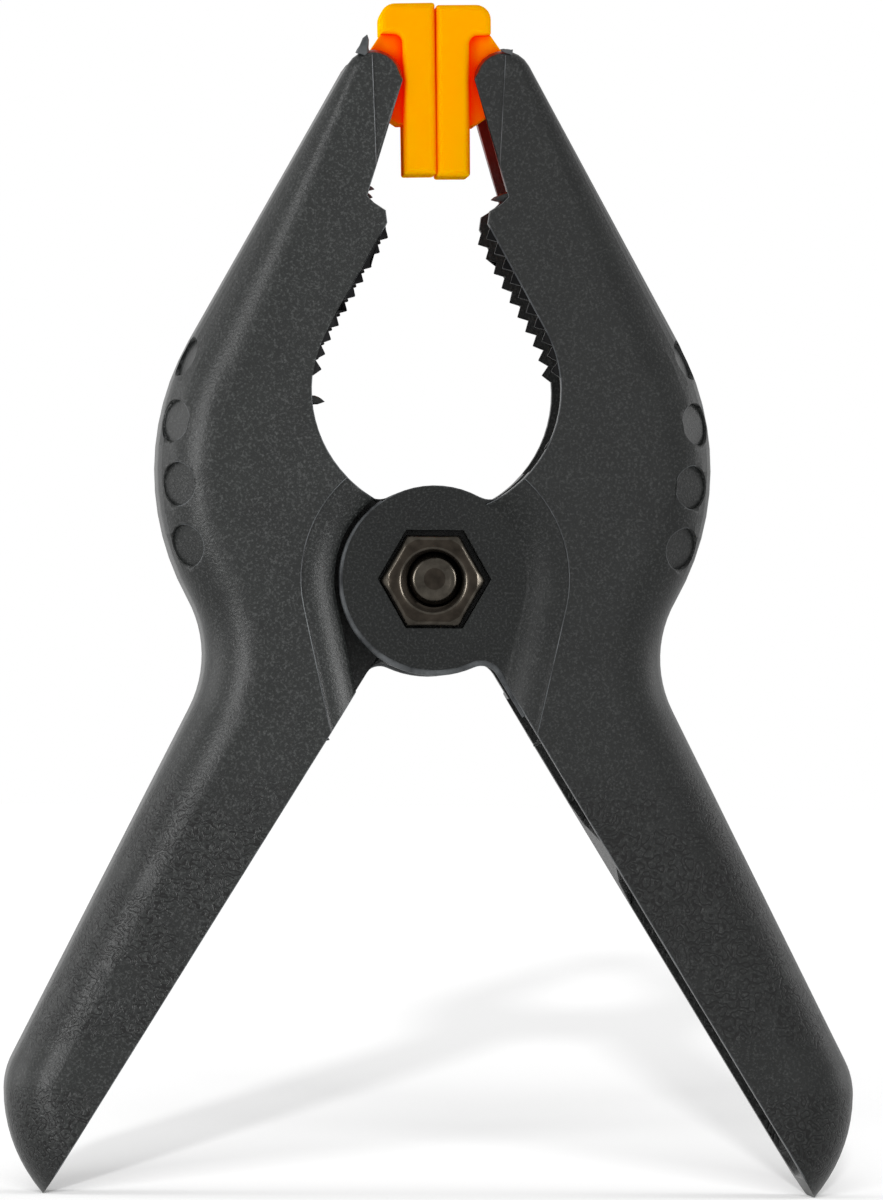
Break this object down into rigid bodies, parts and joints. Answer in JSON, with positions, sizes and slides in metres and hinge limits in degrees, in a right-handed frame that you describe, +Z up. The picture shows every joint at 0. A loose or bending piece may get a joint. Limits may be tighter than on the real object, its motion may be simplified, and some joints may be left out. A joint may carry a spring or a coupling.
{
  "type": "spring clamp",
  "caption": "Hand spring clamp with two black nylon channel arms on one bolted pivot, a toothed pear-shaped throat, pointed handles and orange swivelling jaw pads.",
  "frame": {"origin": "centre of the clamp's bounding box in plan, on the floor plane under the two handle ends", "axes": "+Z up from the handle ends to the jaw pads, +X towards the right arm, -Y towards the side that shows the hexagon nut"},
  "size_m": [0.1016, 0.028, 0.1427],
  "materials": {
    "black_nylon": "semi-matte moulded black nylon with a fine speckle",
    "orange_pad": "satin orange plastic",
    "black_oxide": "black oxide steel with worn bright edges",
    "spring_steel": "plain drawn steel wire"
  },
  "bodies": {
    "left_arm": {"left_arm": "black_nylon", "pivot_bolt": "black_oxide", "torsion_spring": "spring_steel"},
    "right_arm": {"right_arm": "black_nylon", "pivot_nut": "black_oxide"},
    "left_pad": {"left_pad": "orange_pad"},
    "right_pad": {"right_pad": "orange_pad"}
  },
  "joints": [
    {"name": "jaw_hinge", "type": "hinge", "parent": "left_arm", "child": "right_arm", "pos_m": [0, 0, 0.0738], "axis": [0, 1, 0], "range_deg": [0, 60], "stiffness_Nm_per_rad": 1.2, "springref_deg": -57.3, "deforming": ["torsion_spring"]},
    {"name": "left_pad_swivel", "type": "hinge", "parent": "left_arm", "child": "left_pad", "pos_m": [-0.0078, 0, 0.1335], "axis": [0, 1, 0], "range_deg": [-18, 18]},
    {"name": "right_pad_swivel", "type": "hinge", "parent": "right_arm", "child": "right_pad", "pos_m": [0.0078, 0, 0.1335], "axis": [0, 1, 0], "range_deg": [-18, 18]}
  ],
  "couplings": [
    {"joint": "left_pad_swivel", "follows": "jaw_hinge", "ratio": 0.25},
    {"joint": "right_pad_swivel", "follows": "jaw_hinge", "ratio": -0.25}
  ]
}
